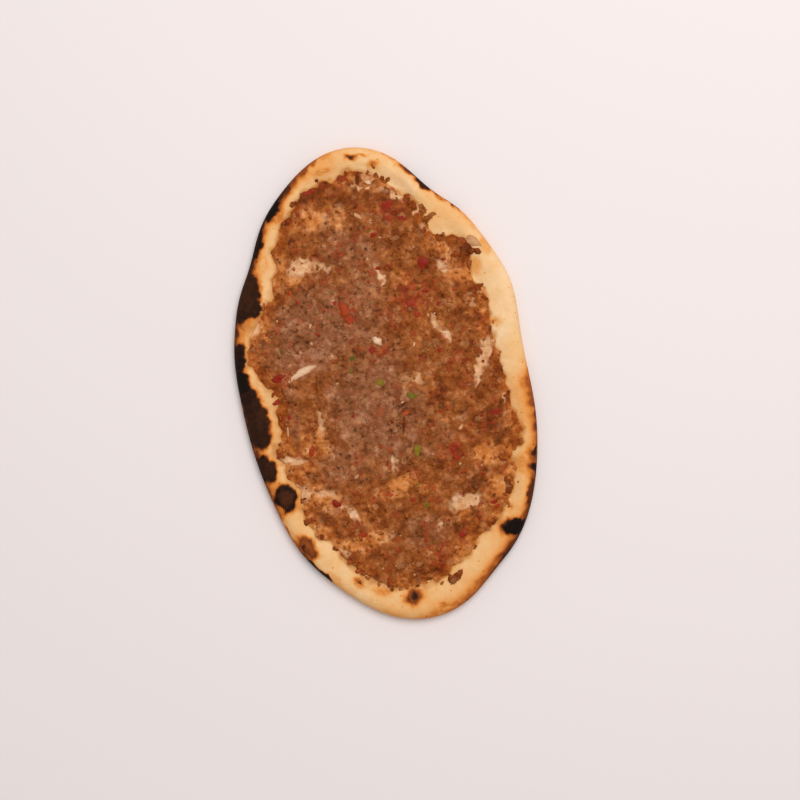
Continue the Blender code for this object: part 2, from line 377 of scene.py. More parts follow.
def makeBread(material):
    rimSteps, ringStep, lastInset = bread["rimSteps"], bread["ringStep"], bread["lastInset"]
    crestInset, footInset = bread["crestInset"], bread["footInset"]
    angle = np.linspace(-math.pi, math.pi, rimSteps, endpoint=False)
    edgeTurns = np.linspace(0.0, math.pi / 2, 13)
    # rings: distance in from the edge, and the share left of the way to the middle
    topRings = [(inset, 1.0) for inset in crestInset * (1.0 - np.cos(edgeTurns))]
    inner = np.arange(crestInset + ringStep, lastInset + ringStep / 2, ringStep)
    topRings += [(inset, 1.0) for inset in inner]
    topRings += [(lastInset, share) for share in np.linspace(0.92, 0.06, 9)]
    underRings = [(inset, 1.0) for inset in footInset * (1.0 - np.cos(edgeTurns[1:10:2]))]
    underRings += [(footInset * 0.9, 1.0), (footInset * 1.3, 1.0)]
    underRings += [(footInset * 1.3, share) for share in np.linspace(0.97, 0.03, 32)]
    rings = []  # x, y, height, toast and fat of each point

    def ringAt(inset, share):
        reach = (breadReach(angle) - inset) * share
        return reach * np.cos(angle), reach * np.sin(angle)

    for inset, share in reversed(topRings):
        x, y = ringAt(inset, share)
        height, toast, fat = breadShape(x, y)
        if inset < crestInset:  # scorch marks run unevenly down the side
            wander = bread["sideWander"] * (1.0 - inset / crestInset)
            shiftX = wander * waves(x + 2.0 * height, y, 3.0, 47.0)
            shiftY = wander * waves(x, y + 2.0 * height, 3.0, 48.0)
            toast = breadShape(x + shiftX, y + shiftY)[1]
        rings.append(np.stack([x, y, height, toast, fat], 1))
    edgeToasted = toast
    for inset, share in underRings:
        x, y = ringAt(inset, share)
        height, toast = undersideShape(x, y, inset, edgeToasted)
        rings.append(np.stack([x, y, height, toast, np.zeros(rimSteps)], 1))
    middles = [[0.0, 0.0, bread["floorHeight"], 0.1, 1.0], [0.0, 0.0, 0.1, 0.2, 0.0]]
    points = np.concatenate(rings + [middles])
    firstRing = np.arange(rimSteps)
    lastRing = (len(rings) - 1) * rimSteps + firstRing
    faces = []
    for k in range(len(rings) - 1):
        faces += bandFaces(k * rimSteps + firstRing, (k + 1) * rimSteps + firstRing)
    faces += fanFaces(firstRing, len(points) - 2)
    faces += fanFaces(lastRing[::-1], len(points) - 1)
    # the top and the underside lie side by side in the flat layout, at one scale
    onTop = np.arange(len(points)) < len(topRings) * rimSteps
    onTop[-2] = True
    pageWidth = 252.0
    across = points[:, 0] / pageWidth + np.where(onTop, 0.25, 0.75)
    uv = np.stack([across, points[:, 1] / pageWidth + 0.5], 1)
    return meshFrom("bread", points[:, :3], faces, material, {"toast": points[:, 3], "oil": points[:, 4]}, uv)


def bakedDough():
    # Wheat dough baked fast on a hot floor: dry, floury and matt where pale, it browns through
    # gold to black where bubbles touched the heat. Meat fat soaks the pale crumb tan.
    material, tree, shader = newMaterial("bakedDough")
    place = addNode(tree, "TexCoord").outputs["Object"]
    toast, oil = (
        addNode(tree, "Attribute", attribute_name=name).outputs["Fac"] for name in ("toast", "oil"))
    # size in mm and detail; flour dust is far finer than 0.8, so it is drawn coarser
    patterns = {"patches": (11.0, 4.0), "mottle": (2.2, 5.0), "flour": (0.8, 3.0), "soak": (4.0, 4.0)}
    noises = {}
    for name, (size, detail) in patterns.items():
        noises[name] = addNode(tree, "TexNoise", {
            "Vector": place, "Scale": perMm(size), "Detail": detail}).outputs["Fac"]
    breaking = addUp(tree, 0.06, [(toast, 0.22)])
    broken = addNode(tree, "Math", {0: noises["mottle"], 1: breaking}, operation="MULTIPLY")
    # freckles where grains of flour and bran have caught, about 4 mm apart
    freckles = addNode(tree, "TexVoronoi", {"Vector": place, "Scale": perMm(4.0)})
    freckle = addNode(tree, "MapRange", {
        "Value": freckles.outputs["Distance"], "From Min": 0.14, "From Max": 0.05, "To Max": 0.16})
    baked = addUp(tree, -0.16, [
        (toast, 1.0), (noises["patches"], 0.22), (broken.outputs[0], 1.0), (freckle.outputs[0], 1.0)])
    browning = addNode(tree, "ValToRGB", {"Fac": baked}, [
        (0.0, "#F2CEA3"), (1.0, "#170D08"), (0.12, "#E8B67D"), (0.25, "#E19A54"), (0.36, "#CF7A32"),
        (0.47, "#A35420"), (0.60, "#713615"), (0.74, "#4A2410"), (0.88, "#331A0D"),
    ])
    tan = addNode(tree, "ValToRGB", {"Fac": noises["soak"]}, [
        (0.34, "#B06A30"), (0.68, "#DDA468"), (0.5, "#CA8848"),
    ])
    soaked = addUp(tree, -0.45, [(oil, 0.95), (noises["soak"], 0.9)])
    cover = addNode(tree, "Math", {0: soaked, 1: oil}, operation="MULTIPLY", use_clamp=True)
    mix = {0: cover.outputs[0], 6: browning.outputs["Color"], 7: tan.outputs["Color"]}  # share, two colours
    colour = addNode(tree, "Mix", mix, data_type="RGBA").outputs[2]
    # dry dough is rougher than what fat has soaked
    rough = addNode(tree, "MapRange", {"Value": oil, "To Min": 0.72, "To Max": 0.5}).outputs[0]
    skin = addUp(tree, 0.0, [(noises["flour"], 0.5), (noises["mottle"], 1.0), (noises["soak"], 1.4)])
    bump = addNode(tree, "Bump", {"Strength": 0.8, "Distance": 0.32 * mm, "Height": skin}).outputs[0]
    fillInputs(tree, shader, {
        "Base Color": colour, "Normal": bump, "Roughness": rough, "IOR": 1.45, "Specular IOR Level": 0.08})
    return material


breadPiece = makeBread(bakedDough())
print("bread made", len(breadPiece.data.polygons), "faces")


# the mince: pressed thin, crumbled and browned in the oven

mince = {
    "thickness": 1.7,
    "edgeTaper": 6.0,
    "edgeThickness": 0.15,
    "buried": 0.8,  # how deep its hidden skirt goes into the bread
    "skirt": 2.4,  # how far that skirt runs out past the CAD outline
    "underside": 1.4,  # below the bread's floor, where it doesn't show
    "coarse": (2.6, 0.46),  # grain size and height
    "fine": (1.3, 0.26),
    "swells": (12.0, 0.30),
    "pits": (2.1, 0.5),  # spacing and depth
    "cells": (246, 390),
}

# What the mince is like in places: x, y, half length, half width, turn, how strongly
minceSpots = {
    "bare": [  # dough shows between the meat
        (-24.5, 54, 6, 3, 4, 1.1), (-17, 52.5, 5, 1.8, -8, 0.6), (6.8, 44, 5.6, 1.3, 105, 0.7),
        (32.8, 43.8, 2.8, 2.2, -12, 0.5), (25.5, 21.5, 3, 1.5, 110, 0.75),
        (28.4, 15.5, 4.2, 1.4, 112, 0.75), (12, -0.8, 6, 2, -20, 0.5), (42, 2.5, 8.5, 2.2, 62, 1.1),
        (38.4, -5.5, 3.4, 0.9, 78, 0.9), (46.8, 8.5, 2.6, 1.8, 30, 0.45), (23.2, -55, 6.2, 3.4, 4, 1.1),
        (11.6, -62, 2, 1.9, 0, 0.55), (-2.6, -33, 1.6, 3.4, 10, 0.5), (-34, -40.2, 5.5, 1.6, -8, 0.5),
        (-27.5, -47.6, 2.4, 1.2, 10, 0.4), (-23.4, -51.5, 4.8, 1.5, -62, 0.7),
        (-11, -63.8, 5, 1.3, 24, 0.4), (-11.2, 72, 2.4, 4.5, 10, 0.35), (-5.5, 73.5, 2.6, 5, 0, 0.3),
        (-20, 77, 3, 1.6, 20, 0.2), (-29.5, -11, 1.4, 6, 4, 0.45), (-28, -24, 1.6, 4, -10, 0.35),
        (41.5, 26, 2.6, 1.1, 12, 0.45), (28, 60.8, 3.4, 1.6, 15, 0.4), (-43.5, -24.8, 6, 1.6, -14, 0.7),
        (-42.5, -38.5, 4, 3, -30, 0.7), (17, 79.5, 4, 1.6, 0, 0.35), (8.4, 85.2, 2.5, 2.2, 0, 0.4),
        (3.5, 82.8, 2.4, 0.7, -58, 0.85), (7.6, 81.8, 3.4, 0.7, 6, 0.75), (11.2, 86.4, 2.8, 0.7, 80, 0.7),
        (15.5, 89, 3.4, 1.4, -30, 0.3), (-42, -57, 4, 2, -60, 0.45), (36.5, 51, 1.4, 3.4, 60, 0.3),
        (48.5, 51, 5, 1.6, -38, 0.7), (28, -20.5, 3, 1.2, 20, 0.35), (43, -64, 6, 1.4, 48, 0.3),
        (-49.5, 33, 4, 2.6, 60, 0.6), (26.6, 68, 0.9, 3.8, -24, 0.7), (20.4, 75.4, 3, 1.6, -30, 1),
        (-30, -66, 3, 1.4, -50, 0.6), (3, -57.5, 1.6, 1, 0, 0.4), (-16, 10, 1.2, 1, 0, 0.3),
        (47.5, -15, 3, 1, 60, 0.5),
    ],
    "oily": [  # fat has pooled and dried orange
        (-16.5, 72.5, 6.5, 4.6, 10, 0.8), (-6, 73, 4.5, 5, 0, 0.6), (21, -60.5, 5, 2.6, 0, 0.8),
        (-48.5, 20, 3, 7, 0, 0.3), (-20, -53, 3, 8, 50, 0.35), (-41, -28, 5, 3, 0, 0.7),
        (35, -55, 4, 4, 0, 0.5), (44, -42, 4, 9, -10, 0.7), (16, -78, 7, 2.6, 30, 0.5),
        (-33, -62, 3, 6, 40, 0.6), (40, 24, 4, 7, 0, 0.3), (-34, 55, 4, 9, -8, 0.55),
        (-29, 49, 5, 3, 10, 0.6), (-33, -20.5, 6.5, 6.5, 0, 0.7), (36, -36, 5.6, 4.4, -10, 1),
        (35.4, -35.6, 3.8, 3.2, 0, 1.4), (39.5, -51.5, 6, 6, 30, 0.9), (-1.5, -43.5, 9, 3.4, 12, 0.9),
        (-21.5, -63.5, 10, 3.4, 6, 0.95), (20.5, -73.5, 6, 3.4, 40, 0.9), (40, 38, 6, 3, -14, 0.9),
        (15, 42.5, 4, 4, 0, 0.5), (25, 23, 5, 7, 20, 0.45), (11, -1, 8.5, 4, -15, 0.5),
        (-44, -23, 5, 6, 0, 0.5), (-37.5, -41.5, 9, 5, -20, 0.75), (-38.5, -54, 4, 7, 25, 0.6),
        (47, -28, 3, 12, -4, 0.3), (46.5, 24, 3, 10, 0, 0.5), (45.8, 12, 3, 3.4, 0, 0.35),
        (26, 60, 5, 3.4, 10, 0.4), (-47, 32, 5, 6, -30, 0.7), (34, 50, 7, 3, -60, 0.6),
        (9, -45, 5, 3, 0, 0.4), (30, -66, 8, 3, 40, 0.5), (-3, -84, 10, 2.4, 2, 0.6),
        (8, 84, 14, 4, -12, 0.45),
    ],
    "fried": [  # darker, drier meat
        (-16, 84, 8, 3, 14, 0.9), (-25, 76, 3.6, 2.4, 20, 0.8), (-2, 80.5, 6.5, 6, 0, 0.8),
        (14, 75, 8, 5, -30, 0.7), (14, 82.5, 5, 2.4, -15, 0.8), (24.5, 70, 4, 5.5, 20, 0.5),
        (31, 64, 2.8, 4.5, -10, 0.8), (33, 54.5, 3, 2, 10, 0.7), (42, 49, 4.6, 5.4, -30, 1),
        (46.5, 47, 3.6, 2, -30, 1), (44, 30.5, 3.6, 4, 0, 0.7), (47.5, -2, 3, 5.5, 10, 0.8),
        (21.5, -9.5, 7.5, 3.6, 10, 0.6), (41, -19.5, 8.5, 5.5, 10, 0.7), (3.5, -17, 5.5, 9, -20, 0.45),
        (28, -47, 6.5, 3, 8, 0.7), (42.5, -52, 2, 4, 20, 0.7), (-8, -53, 7, 4, 10, 0.6),
        (-35.5, -51, 4, 3.6, 0, 0.5), (1, -80, 9, 3.6, 0, 0.55), (-25, -71, 5.5, 3, -30, 0.35),
        (36, 22, 5, 8, 0, 0.4), (14, 59, 8, 5, 0, 0.65), (30, 47, 5, 4, 0, 0.6), (44, -25, 3.6, 5, 0, 0.6),
        (20, -66, 6, 4, 30, 0.35), (-40, 35.5, 4, 3, 0, 0.4),
    ],
    "pink": [  # steamed rather than browned: greyer and pinker
        (-24, 27, 22, 17, 25, 1), (-46, 22, 5, 10, 0, 0.7), (-44, -2, 7, 14, 0, 0.85),
        (-6, -10, 19, 24, 0, 1), (-22, -28, 12, 14, 0, 0.6), (-3, 56, 14, 14, 0, 0.6),
        (-4, 30, 12, 20, 0, 0.7), (5, -64, 11, 7, 0, 0.6), (14, -28, 10, 8, 0, 0.5),
    ],
    "crisp": [  # small dark pieces
        (5, 85.6, 2.9, 1.1, 78, 1), (7.2, 88.4, 2.6, 0.8, 10, 0.9), (10, 87.2, 1.4, 0.7, -55, 0.6),
        (13.4, 87.2, 1.8, 2.6, 10, 0.45), (16.6, 84.4, 3.2, 1.8, -15, 0.85), (42.5, 51.5, 2.4, 2.2, 0, 0.7),
        (46, 47.5, 2.8, 1.8, -20, 0.7), (39.5, 46.5, 2.2, 1.8, 20, 0.5), (44.3, 42.6, 1.5, 1, 0, 0.7),
        (-41, -50.5, 1.8, 1.6, 0, 0.4), (42.4, -52.5, 1.4, 2.6, 0, 0.6), (13.2, -85.6, 2.6, 2.3, 0, 0.8),
        (-36.5, 42, 3, 1.8, -60, 0.4),
    ],
    "red": [  # stained by the tomato
        (20, 33, 11, 9, 20, 0.55), (-10.2, 31.2, 3.2, 5.4, 8, 0.95), (15.5, 71, 6.5, 5, 0, 0.8),
        (6, 62.5, 4, 2.4, 0, 0.4), (-43, 8, 5, 5, 0, 0.6), (8.5, -77, 5, 6, 0, 0.7),
        (24, -33.5, 6, 5, 30, 0.6), (-11, -47.5, 8, 3.5, -10, 0.35), (43.5, -20.5, 6, 4, 0, 0.8),
        (0, 13, 4.5, 4, 0, 0.6), (-34.5, -20.5, 4.5, 4.5, 0, 0.5), (-24, -66, 8, 4, 0, 0.4),
        (-16, 84, 5, 2.4, 10, 0.6), (36, -57.5, 4, 3, 0, 0.5), (32, 4, 5, 4, 0, 0.35),
        (-30, -46, 4, 3, 0, 0.5),
    ],
}

# Holes and cracks: x, y, half length, half width, turn, depth
minceHoles = [
    (4.8, 85.4, 1.5, 0.8, 80, 0.8), (5, -10.5, 2.6, 0.7, 30, 0.9), (6.5, -14, 2.8, 0.5, -70, 0.8),
    (4, -20, 4.5, 0.45, 74, 0.8), (2.6, -32.5, 1.4, 0.8, 20, 0.8), (3.4, -35, 1.4, 0.5, -30, 0.8),
    (-14, 26, 2.8, 0.6, -30, 0.7), (-33.5, 28.5, 1.8, 0.5, -15, 0.7), (-31, 25.5, 1.6, 0.5, -40, 0.7),
    (-17.5, 35.5, 0.9, 0.7, 0, 0.8), (-11.5, 38, 1.8, 0.4, -25, 0.7), (-24.5, 42.5, 1.4, 0.5, 30, 0.7),
    (-27, 65, 1.6, 0.8, 30, 0.8), (-3, 54, 1.2, 0.4, 10, 0.6), (-28.5, 3.5, 0.5, 1.4, 0, 0.7),
    (3.5, 30.5, 1.8, 0.5, -10, 0.6), (33.5, 11.5, 0.8, 0.6, 0, 0.6), (33, -11, 1, 0.5, 0, 0.6),
    (16, -19.5, 1.4, 0.4, 0, 0.5), (-16, 62.5, 0.6, 0.5, 0, 0.6), (16.5, 55, 0.9, 0.5, 20, 0.6),
]


def minceKinds(x, y):
    # how strongly each kind of place shows; the small crisp pieces have the sharpest edges
    kinds = {}
    shiftX, shiftY = 1.5 * waves(x, y, 2.6, 65.0), 1.5 * waves(x, y, 2.6, 66.0)
    for k, (kind, rows) in enumerate(minceSpots.items()):
        kinds[kind] = np.zeros(x.shape)
        ragged, outer, inner = (0.25, 1.4, 0.6) if kind == "crisp" else (1.0, 1.7, 0.3)
        for row, reachHere in ovals(x + ragged * shiftX, y + ragged * shiftY, rows, 71.0 + k, 1.6 * ragged):
            kinds[kind] = np.maximum(kinds[kind], row[5] * smoothStep(outer, inner, reachHere))
    return kinds


def mincePits(x, y, pink, bare, between):
    # small pits, more of them in places, cracks between some grains, and the larger holes, all of which the
    # meat's shader darkens with painted shade
    spacing = mince["pits"][0]
    nearest, _, number = grains(x, y, spacing, 7)
    crowd = 0.05 + 0.13 * pink + 0.14 * waves(x, y, 9.0, 94.0)
    width = 0.35 + 0.3 * number / np.maximum(crowd, 0.01)
    pit = np.exp(-((nearest * spacing / width) ** 2)) * (number < crowd)
    crack = smoothStep(0.12, 0.02, between) * smoothStep(0.15, 0.45, waves(x, y, 6.0, 95.0))
    pit = np.maximum(pit, 0.7 * crack) * (1.0 - 0.9 * bare)
    for row, reachHere in ovals(x, y, minceHoles, 77.0, 0.6):
        pit = np.maximum(pit, row[5] * smoothStep(1.4, 0.7, reachHere))
    return pit


def minceShape(x, y):
    # height of the mince's top, what it is like, and the distance in from its ragged edge
    fields = minceKinds(x, y)
    bare, oily = fields["bare"], fields["oily"]
    inside = insideMeat(x, y)
    fields["edge"] = smoothStep(12.0, 1.5, inside)
    fields["film"] = smoothStep(1.5, 0.1, inside)
    nearest, second, coarse = grains(x + 0.5 * waves(x, y, 1.5, 93.0), y, mince["coarse"][0], 5)
    dome = np.clip(1.0 - nearest**2 * 1.5, 0.0, 1.0)
    nearestFine, _, fine = grains(x, y + 0.4 * waves(x, y, 1.2, 97.0), mince["fine"][0], 6)
    fineDome = np.clip(1.0 - nearestFine**2 * 1.4, 0.0, 1.0)
    pit = mincePits(x, y, fields["pink"], bare, second - nearest)
    calm = 1.0 - 0.75 * bare - 0.35 * oily
    cover = smoothStep(-0.5, mince["edgeTaper"], inside)
    lift = mince["thickness"] * cover * (1.0 - 0.5 * bare - 0.2 * oily)
    relief = mince["coarse"][1] * dome * (0.5 + 0.8 * coarse) + mince["fine"][1] * fineDome * (0.4 + fine)
    swell = mince["swells"][1] * waves(x, y, mince["swells"][0], 96.0)
    thick = mince["edgeThickness"] + lift + swell * cover + relief * calm * (0.5 + 0.5 * cover)
    onTop = smoothStep(-0.6, 1.0, inside)
    height = breadShape(x, y)[0] - mince["buried"] * (1.0 - onTop)
    height = height + onTop * (thick - mince["pits"][1] * pit)
    fields["grain"] = 0.5 * coarse + 0.5 * fine
    # pit and gap mark the recesses that the meat's shader darkens with painted shade; gap is high between the
    # grains' domes
    fields["pit"] = pit
    fields["gap"] = np.clip(1.0 - dome, 0, 1) * calm
    return np.minimum(height, bread["highest"]), fields, inside


def makeMince(material):
    across, along = mince["cells"]
    s, t = np.meshgrid(np.linspace(-1, 1, across + 1), np.linspace(-1, 1, along + 1))
    s, t = s.ravel(), t.ravel()
    u, v = s * np.sqrt(1.0 - t * t / 2.0), t * np.sqrt(1.0 - s * s / 2.0)  # square grid into a disc
    low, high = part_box("meat_topping")
    halfWide, halfLong = (high[0] - low[0]) / 2 / mm, (high[1] - low[1]) / 2 / mm
    x, y = u * halfWide, v * halfLong
    angle = np.arctan2(y, x)
    oval = 1.0 / np.hypot(np.cos(angle) / halfWide, np.sin(angle) / halfLong)
    grow = (toppingReach(angle) + mince["skirt"]) / oval
    x, y = x * grow, y * grow
    height, fields, _ = minceShape(x, y)
    points = np.stack([x, y, height], 1)
    grid = np.arange(len(points)).reshape(along + 1, across + 1)
    faces = np.stack([grid[:-1, :-1], grid[:-1, 1:], grid[1:, 1:], grid[1:, :-1]], -1).reshape(-1, 4).tolist()
    border = np.concatenate([grid[0, :-1], grid[:-1, -1], grid[-1, :0:-1], grid[:0:-1, 0]])
    under = points[border].copy()
    under[:, 2] = bread["floorHeight"] - mince["underside"]
    underBorder = len(points) + np.arange(len(border))
    points = np.concatenate([points, under])
    faces += bandFaces(border, underBorder)
    faces.append(underBorder[::-1].tolist())
    fields = {key: np.concatenate([value, value[border]]) for key, value in fields.items()}
    page = 2.0 * (halfLong + mince["skirt"]) * 1.03
    uv = points[:, :2] / page + 0.5
    return meshFrom("minceLayer", points, faces, material, fields, uv)


def bakedMince():
    # Finely minced lamb baked open: cooked protein is matt pinkish brown, its fat gives a low
    # sheen, the thin edges fry darker, and the fat that runs out stains the dough orange.
    material, tree, shader = newMaterial("bakedMince")
    place = addNode(tree, "TexCoord").outputs["Object"]
    mask = {
        name: addNode(tree, "Attribute", attribute_name=name).outputs["Fac"]
        for name in ("grain", "pit", "gap", "edge", "film", *minceSpots)
    }
    # size in mm and detail; the meat's real fibres are too fine to show, so they are drawn at 0.8
    patterns = {"fibres": (0.8, 4.0), "clumps": (4.2, 2.0), "zones": (9.0, 2.0), "crumple": (1.6, 2.0)}
    noises = {}
    for name, (size, detail) in patterns.items():
        noises[name] = addNode(tree, "TexNoise", {
            "Vector": place, "Scale": perMm(size), "Detail": detail, "Roughness": 0.58})
    fibres, clumps, zones = (noises[name].outputs["Fac"] for name in ("fibres", "clumps", "zones"))
    # the patterns that follow are torn by about 1 mm
    shift = {0: noises["crumple"].outputs["Color"], 1: (1.1 * mm, 1.1 * mm, 1.1 * mm), 2: place}
    torn = addNode(tree, "VectorMath", shift, operation="MULTIPLY_ADD").outputs[0]
    stains = addNode(tree, "TexNoise", {
        "Vector": torn, "Scale": perMm(3.1), "Detail": 2.0}).outputs["Fac"]
    # the mincer's plate has holes of about 3 mm, and the strands break into bits half that size
    chunks = addNode(tree, "TexVoronoi", {"Vector": torn, "Scale": perMm(2.6)})
    bits = addNode(tree, "TexVoronoi", {"Vector": torn, "Scale": perMm(1.3)})
    chunk = addNode(tree, "SeparateColor", {"Color": chunks.outputs["Color"]}).outputs
    bit = addNode(tree, "SeparateColor", {"Color": bits.outputs["Color"]}).outputs
    tone = addUp(tree, -0.67, [
        (mask["grain"], 0.20), (chunk["Red"], 0.24), (bit["Red"], 0.05), (fibres, 0.12), (clumps, 1.6)])
    plain = addNode(tree, "ValToRGB", {"Fac": tone}, [
        (0.0, "#672C05"), (1.0, "#C47E4A"), (0.35, "#8D4713"), (0.7, "#A85F2C"),
    ])
    # each layer: its mark, strength, the noise that breaks it up and how much, how much it goes
    # by whole chunks, colours from dark to light
    layers = [
        ("pink", 0.85, zones, 0.8, 0.2, ["#713C16", "#985C38", "#BF8B6B"]),
        ("red", 0.75, stains, 1.6, 0.2, ["#7A1C04", "#9A3612", "#B4562C"]),
        ("edge", 0.75, clumps, 1.1, 0.2, ["#742E03", "#A14E15", "#D07D3C"]),
        ("fried", 0.95, stains, 1.0, 0.2, ["#5A2504", "#803A0B", "#9F551B"]),
        ("oily", 0.85, clumps, 1.1, 0.1, ["#A85615", "#CE7A38", "#E8A469"]),
        ("bare", 1.0, stains, 0.4, 0.04, ["#C88A54", "#E3AE80", "#F0CBA8"]),
        ("film", 0.9, stains, 0.9, 0.1, ["#AA6228", "#CC863E", "#E4A866"]),
        ("crisp", 1.0, stains, 0.4, 0.0, ["#5A2203", "#7E380A", "#A05A22"]),
    ]
    colour = plain.outputs["Color"]
    for kind, strength, breaker, uneven, byChunk, shades in layers:
        total = addUp(tree, -0.5 * (uneven + byChunk), [
            (mask[kind], strength), (breaker, uneven), (chunk["Green"], byChunk)])
        factor = addNode(tree, "MapRange", {
            "Value": total, "From Min": 0.08, "From Max": 0.78}, interpolation_type="SMOOTHSTEP")
        ramp = addNode(tree, "ValToRGB", {"Fac": tone}, [
            (0.0, shades[0]), (1.0, shades[2]), (0.5, shades[1])])
        mix = {0: factor.outputs[0], 6: colour, 7: ramp.outputs["Color"]}
        colour = addNode(tree, "Mix", mix, data_type="RGBA").outputs[2]
    # chopped tomato, parsley, fat and onion too small to be pieces: what picks them, from where
    # to where, strength, colour
    flecks = [
        (bit["Blue"], 0.95, 0.98, 0.2, "#8E2A12"),
        (bit["Green"], 0.985, 0.995, 0.25, "#5E5A1C"),
        (bit["Blue"], 0.04, 0.01, 0.2, "#D0A07C"),
        (chunk["Blue"], 0.88, 0.95, 0.45, "#9E3C18"),
        (chunk["Blue"], 0.10, 0.03, 0.35, "#BE8254"),
        (bit["Green"], 0.06, 0.02, 0.2, "#4A1E03"),
    ]
    for source, low, high, strength, shade in flecks:
        factor = addNode(tree, "MapRange", {
            "Value": source, "From Min": low, "From Max": high, "To Max": strength})
        mix = {0: factor.outputs[0], 6: colour, 7: hexToLinear(shade)}
        colour = addNode(tree, "Mix", mix, data_type="RGBA").outputs[2]
    # painted shade: pits, the gaps between grains and the creases between bits are darkened toward deep
    # brown, standing in for the shade that falls in them
    creaseShade = addNode(tree, "MapRange", {
        "Value": bits.outputs["Distance"], "From Min": 0.45, "From Max": 0.85, "To Max": 0.4})
    paintedShadeAmount = addUp(tree, -0.1, [(mask["pit"], 1.0), (mask["gap"], 0.3), (creaseShade.outputs[0], 0.42)])
    shade = addNode(tree, "MapRange", {"Value": paintedShadeAmount, "From Max": 0.8, "To Max": 0.75})
    mix = {0: shade.outputs[0], 6: colour, 7: hexToLinear("#481C02")}
    colour = addNode(tree, "Mix", mix, data_type="RGBA").outputs[2]
    lumps = addUp(tree, 0.0, [
        (bits.outputs["Distance"], -0.7), (chunks.outputs["Distance"], -0.6), (fibres, 1.5)])
    bump = addNode(tree, "Bump", {"Strength": 0.52, "Distance": 0.5 * mm, "Height": lumps}).outputs[0]
    fillInputs(tree, shader, {
        "Base Color": colour, "Normal": bump, "Roughness": 0.46, "IOR": 1.44, "Specular IOR Level": 0.12})
    return material


minceMaterial = bakedMince()
mincePiece = makeMince(minceMaterial)
print("mince layer made", len(mincePiece.data.polygons), "faces")


def topAt(x, y):
    # the surface that loose bits lie on: mince, or bread where there is none
    height, fields, inside = minceShape(x, y)
    return np.maximum(height, breadShape(x, y)[0]), fields, inside


# chopped vegetables pressed into the mince. Places are those that stand out: x, y, half length,
# half width, turn, shade (0 darkest, 1 lightest) and any bend. Strewn are how many small ones lie
# over the rest of the meat, their half lengths and shades.

# Tomato baked in the open: skin and flesh shrunk to a deep, slightly shiny red, brown at the rim.
tomato = {
    "name": "tomatoBits",
    "material": "cookedTomato",
    "shades": ("#86170A", "#9A2C10", "#AE4C18"),
    "rimShade": "#7E3210",
    "roughness": 0.45,
    "thickness": 0.55,
    "seed": 51,
    "strewn": (40, (0.5, 1.3), (0.2, 0.9)),
    "places": [
        (-10.8, 33.2, 3.4, 2.6, 80, 0.75), (-9.6, 28.6, 2.4, 1.8, 115, 0.7), (25, 46.2, 3, 2.4, 70, 0.1),
        (-43.2, 10.2, 3.3, 1.7, 14, 0.05), (-29.5, -45.5, 2.3, 1.6, -30, 0),
        (-2.5, 14.5, 2.1, 1.5, 75, 0.15), (15, 72.6, 3.4, 1.9, 20, 0.2), (20, 66, 2.2, 1.1, -20, 0.2),
        (7, 61.5, 2, 1, 10, 0.1), (23.6, 34.6, 1.6, 1, 0, 0.1), (-1, 87, 1.8, 1.4, 40, 0.5),
        (-16, 83.8, 3.4, 1.2, 18, 0.3, 0.1), (19.6, -68, 1.9, 1.4, -20, 0.1),
        (22.6, -31.8, 2.4, 1.7, 60, 0.4), (23.6, -36, 2, 1.5, 30, 0.5), (35, -57.2, 1.6, 1.1, 0, 0.3),
        (-21, -60.2, 2.5, 1.3, 0, 0.5), (-14.4, -81.3, 2.3, 0.7, 88, 0.4), (9, -79, 2.8, 0.9, 80, 0.3),
        (-1, -16.5, 1.4, 0.8, 70, 0.1), (6.2, -13.8, 2.2, 1.2, 10, 0.95), (-42, -6.5, 1.3, 0.8, 60, 0.2),
        (-46, 0.6, 2.3, 1.1, 20, 0.3), (17, 30.5, 2.6, 1.6, 30, 0.5), (18.6, 25.6, 2, 1.3, -20, 0.5),
        (36, 2.6, 1.3, 0.9, 0, 0.3), (43, -20.4, 2.8, 1.2, 5, 0.1), (-35.2, -22, 2.3, 1.5, 70, 0.7),
        (2.2, -50, 1.4, 1, 10, 0.4), (25, 9.2, 1.4, 1, 20, 0.4), (34, -12.5, 1.4, 0.8, 0, 0.25),
        (-7, -46, 1.7, 1.1, -20, 0.7), (-24, 25.4, 1.2, 0.8, -30, 0.3), (6.5, 47.5, 1.6, 0.9, 0, 0.35),
        (-44.5, 29, 1.1, 0.7, 0, 0.5), (20.5, -16, 1.2, 0.7, 0, 0.3),
    ],
}

# Green pepper cooked soft: its green goes dull and olive, and the cut edges brown first.
greenPepper = {
    "name": "greenPepperBits",
    "material": "greenPepper",
    "shades": ("#4C5212", "#70620E", "#92781C"),
    "rimShade": "#704A14",
    "roughness": 0.5,
    "thickness": 0.5,
    "seed": 52,
    "strewn": (14, (0.35, 0.8), (0.1, 0.9)),
    "places": [
        (10, -7.4, 3.2, 1.3, -14, 0.5, 0.06), (8, -30, 2.8, 1.9, 75, 0.8), (-11.5, 12.6, 1.6, 1.1, 80, 0.1),
        (-2, 0.6, 2.1, 1.5, 10, 0.7), (7.5, -53, 1.6, 1.1, 80, 0.6), (-40, 21, 1.5, 0.7, 85, 0.1),
        (-27, 68.2, 1.2, 0.8, 20, 0.6), (5.2, 63.4, 1.2, 0.7, 0, 0.4), (-13, 7.5, 1.3, 0.8, 50, 0.5),
        (-15, 41.5, 0.9, 0.6, 0, 0.6), (5, -44, 1.2, 0.6, 30, 0.7), (10, -34.4, 0.8, 0.6, 0, 0.9),
        (22, 12, 0.9, 0.5, 40, 0.5), (-20, -12, 0.9, 0.5, 10, 0.5), (13.5, 50, 0.9, 0.5, 60, 0.4),
    ],
}

